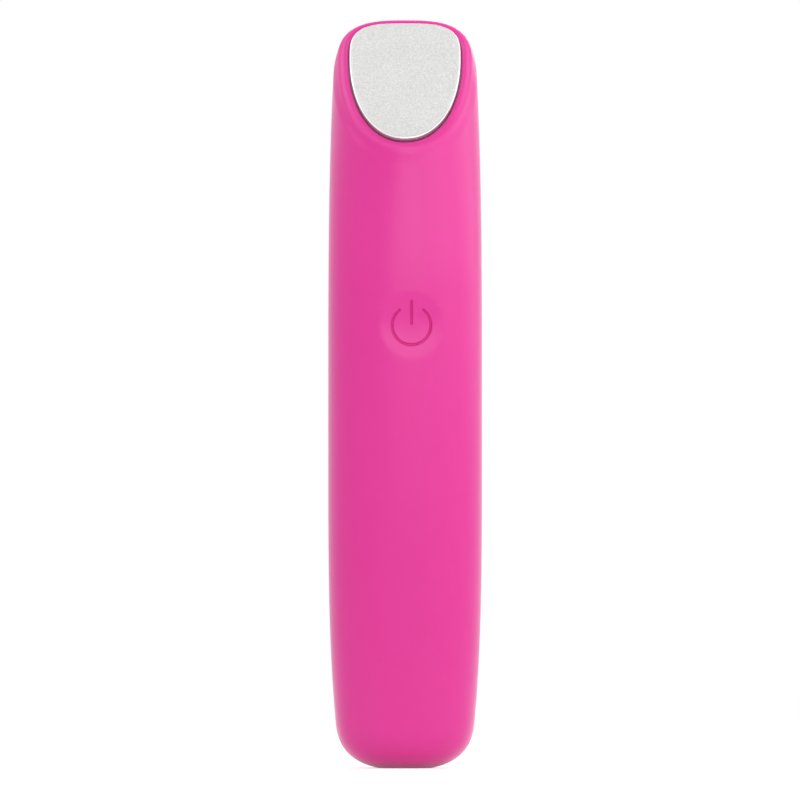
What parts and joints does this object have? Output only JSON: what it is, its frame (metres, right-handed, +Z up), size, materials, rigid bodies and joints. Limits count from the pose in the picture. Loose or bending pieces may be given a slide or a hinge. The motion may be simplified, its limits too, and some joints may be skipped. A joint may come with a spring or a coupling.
{
  "type": "heated eye massager wand",
  "caption": "Slim soft-skinned wand with an oblique metal massage plate at its head, a scooped neck, a thumb button with a power mark and a rear charging port under a flap.",
  "frame": {"origin": "centre of the bounding box's bottom, which is the small flat at the tail's end", "axes": "+Z runs up along the wand from the tail to the head, -Y is the front with the button and the plate, +X is to the right seen from the front"},
  "size_m": [0.0266, 0.022, 0.13],
  "materials": {
    "silicone": "matte, soft, rose pink",
    "abs_white": "satin moulded",
    "black_plastic": "satin moulded",
    "steel": "plated",
    "plate_metal": "fine blasted face with a polished chamfer",
    "seal_rubber": "soft black",
    "heater_copper": "amber film over copper tracks",
    "insulator_foam": "closed-cell foam",
    "carrier_plastic": "heat-resistant, natural",
    "bearing_bronze": "sintered",
    "weight_metal": "pressed and sintered",
    "cell_wrap": "blue shrink wrap over a metal can",
    "nickel": "bright strip",
    "board_green": "solder mask",
    "passive_ceramic": "ceramic",
    "socket_plastic": "natural",
    "led_lens": "clear",
    "red_wire": "insulated lead",
    "black_wire": "insulated lead",
    "blue_wire": "insulated lead",
    "white_wire": "insulated lead"
  },
  "bodies": {
    "housing": {"silicone_sleeve": "silicone", "front_shell": "abs_white", "rear_shell": "abs_white", "tact_switch": "steel", "case_screws": "steel", "board_screws": "steel", "massage_plate": "plate_metal", "plate_seal": "seal_rubber", "heater_film": "heater_copper", "thermistor": "black_plastic", "heat_insulator": "insulator_foam", "head_carrier": "carrier_plastic", "motor_can": "steel", "motor_end_cap": "black_plastic", "motor_bearing": "bearing_bronze", "motor_cradle": "seal_rubber", "battery_cell": "cell_wrap", "battery_tabs": "nickel", "battery_protection_board": "board_green", "battery_foam": "insulator_foam", "main_board": "board_green", "controller_chip": "black_plastic", "driver_chips": "black_plastic", "board_passives": "passive_ceramic", "board_sockets": "socket_plastic", "status_led": "led_lens", "charge_board": "board_green", "charge_chip": "black_plastic", "charge_socket": "steel", "socket_tongue": "black_plastic", "battery_leads": "red_wire", "charge_leads": "black_wire", "motor_leads": "blue_wire", "heater_leads": "white_wire"},
    "button": {"power_button": "silicone", "button_keycap": "abs_white", "switch_stem": "black_plastic"},
    "rotor": {"motor_shaft": "steel", "eccentric_weight": "weight_metal"},
    "port_cover": {"port_cover": "silicone"}
  },
  "joints": [
    {"name": "button_press", "type": "slide", "parent": "housing", "child": "button", "axis": [0, 1, 0], "range_m": [0, 0.0004], "stiffness_N_per_m": 4000},
    {"name": "rotor_spin", "type": "hinge", "parent": "housing", "child": "rotor", "pos_m": [0, 0.0021, 0.1], "axis": [0, 0, 1], "continuous": true},
    {"name": "port_cover_swing", "type": "hinge", "parent": "housing", "child": "port_cover", "pos_m": [0, 0.00939, 0.0094], "axis": [-1, 0, 0], "range_deg": [0, 100], "stiffness_Nm_per_rad": 0.001}
  ]
}
